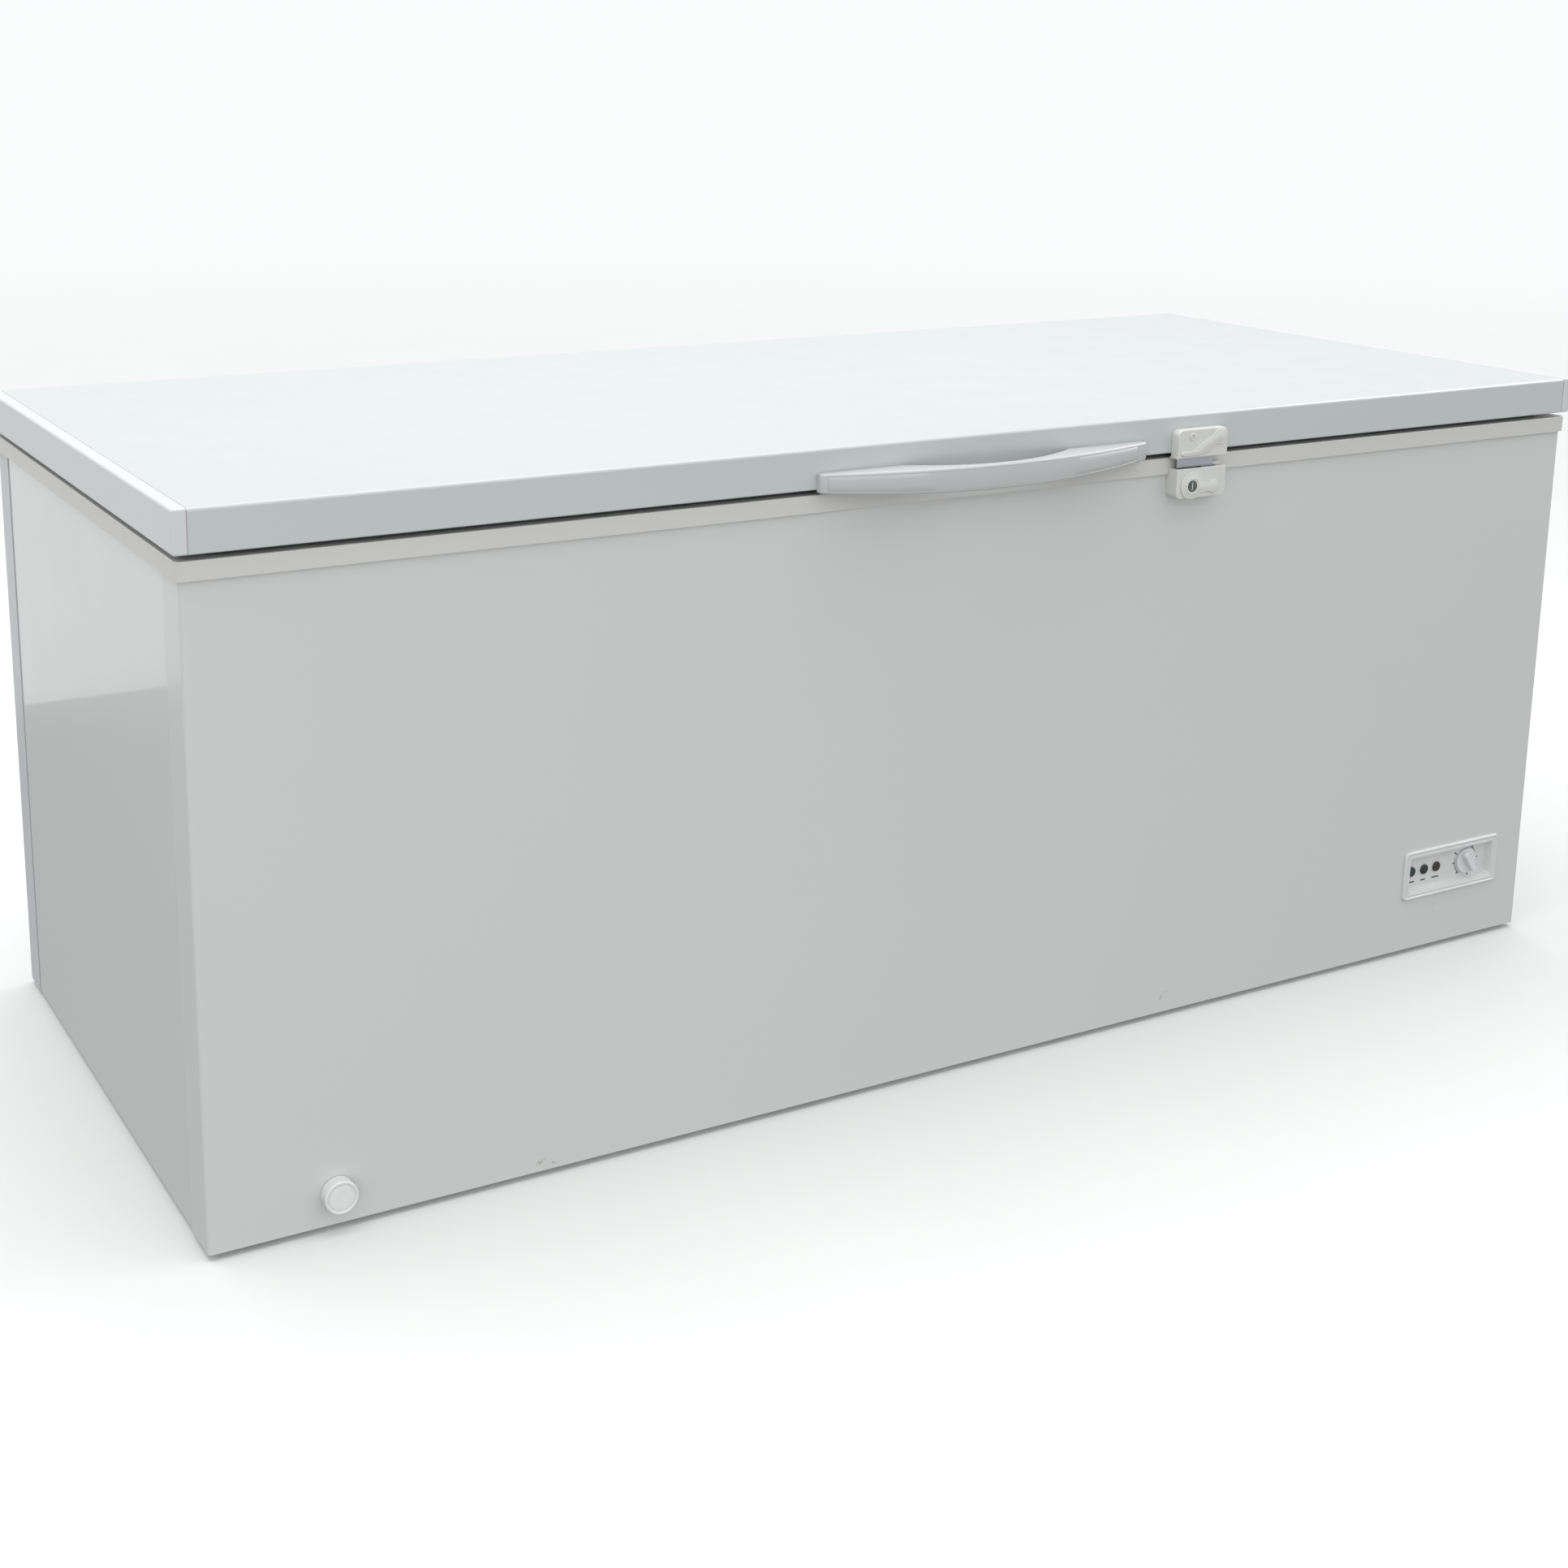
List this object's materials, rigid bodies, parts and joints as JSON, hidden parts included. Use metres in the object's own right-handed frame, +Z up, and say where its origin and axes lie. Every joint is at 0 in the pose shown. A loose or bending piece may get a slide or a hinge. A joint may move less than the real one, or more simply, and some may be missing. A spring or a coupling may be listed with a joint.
{
  "type": "chest freezer",
  "caption": "Long chest freezer with a full-width hinged lid, bow handle, lock, front control panel, capped drain and a hanging basket.",
  "frame": {"origin": "middle of the whole object in plan, on the floor it stands on", "axes": "+X to the right seen from the front, the front faces -Y, +Z up"},
  "size_m": [2.048, 0.929, 0.845],
  "materials": {
    "panel_paint": "satin",
    "rear_paint": "satin",
    "lid_paint": "satin",
    "rim_plastic": "satin",
    "cap_plastic": "satin",
    "white_plastic": "gloss",
    "lock_plastic": "satin",
    "inner_plastic": "satin",
    "galvanised": "satin",
    "zinc": "satin",
    "embossed_aluminium": "satin",
    "coil_aluminium": "satin",
    "foam": "matte",
    "copper": "satin",
    "black_enamel": "satin",
    "black_plastic": "matte",
    "black_rubber": "matte",
    "grey_rubber": "matte",
    "white_rubber": "matte",
    "knob_plastic": "satin",
    "bezel_plastic": "satin",
    "lens_green": "gloss",
    "lens_black": "gloss",
    "lens_red": "gloss",
    "coated_wire": "gloss",
    "lock_metal": "satin"
  },
  "bodies": {
    "cabinet": {"front_panel": "panel_paint", "side_panel_left": "panel_paint", "side_panel_right": "panel_paint", "rear_panel": "rear_paint", "base_pan": "galvanised", "feet": "black_plastic", "rim_frame": "rim_plastic", "inner_liner": "embossed_aluminium", "cabinet_foam": "foam", "machine_bulkhead": "galvanised", "evaporator_coil": "coil_aluminium", "condenser_coil": "copper", "compressor": "black_enamel", "compressor_base": "galvanised", "compressor_grommets": "black_rubber", "compressor_bolts": "zinc", "relay_cover": "black_plastic", "filter_drier": "copper", "discharge_pipe": "copper", "liquid_pipe": "copper", "capillary_tube": "copper", "suction_pipe": "copper", "thermostat": "black_plastic", "control_bezel": "bezel_plastic", "lock_housing": "lock_plastic", "drain_pipe": "white_plastic", "side_grille": "cap_plastic", "grille_screws": "zinc", "rear_cover": "galvanised", "rear_cover_screws": "zinc", "cable_gland": "black_plastic", "hinge_bracket_screws": "zinc", "lamp_lens_left": "lens_green", "lamp_lens_middle": "lens_black", "lamp_lens_right": "lens_red", "hinge_bracket_left": "zinc", "hinge_pin_left": "zinc", "hinge_spring_left": "zinc", "hinge_bracket_right": "zinc", "hinge_pin_right": "zinc", "hinge_spring_right": "zinc"},
    "lid": {"lid_skin": "lid_paint", "lid_foam": "foam", "lid_inner_panel": "inner_plastic", "lid_gasket": "grey_rubber", "lid_end_cap_left": "cap_plastic", "lid_end_cap_right": "cap_plastic", "handle": "white_plastic", "handle_screws": "zinc", "lock_strike": "lock_plastic", "lock_tongue": "zinc", "hinge_leaf_left": "zinc", "hinge_leaf_right": "zinc", "hinge_leaf_screws": "zinc"},
    "knob": {"thermostat_knob": "knob_plastic"},
    "key_barrel": {"lock_cylinder": "lock_metal", "lock_cam": "zinc"},
    "drain_cap": {"drain_cap": "white_plastic"},
    "drain_plug": {"drain_plug": "white_rubber"},
    "basket": {"basket": "coated_wire"}
  },
  "joints": [
    {"name": "lid_hinge", "type": "hinge", "parent": "cabinet", "child": "lid", "pos_m": [0, 0.4555, 0.788], "axis": [-1, 0, 0], "range_deg": [0, 80], "stiffness_Nm_per_rad": 32, "springref_deg": 114.59},
    {"name": "thermostat_turn", "type": "hinge", "parent": "cabinet", "child": "knob", "pos_m": [0.9074, -0.4085, 0.125], "axis": [0, 1, 0], "range_deg": [-60, 210]},
    {"name": "key_turn", "type": "hinge", "parent": "cabinet", "child": "key_barrel", "pos_m": [0.306, -0.4085, 0.753], "axis": [0, 1, 0], "range_deg": [0, 90]},
    {"name": "drain_cap_pull", "type": "slide", "parent": "cabinet", "child": "drain_cap", "axis": [0, -1, 0], "range_m": [0, 0.04]},
    {"name": "drain_plug_lift", "type": "slide", "parent": "cabinet", "child": "drain_plug", "axis": [0, 0, 1], "range_m": [0, 0.05]},
    {"name": "basket_slide", "type": "slide", "parent": "cabinet", "child": "basket", "axis": [1, 0, 0], "range_m": [-1.4, 0.01]}
  ]
}
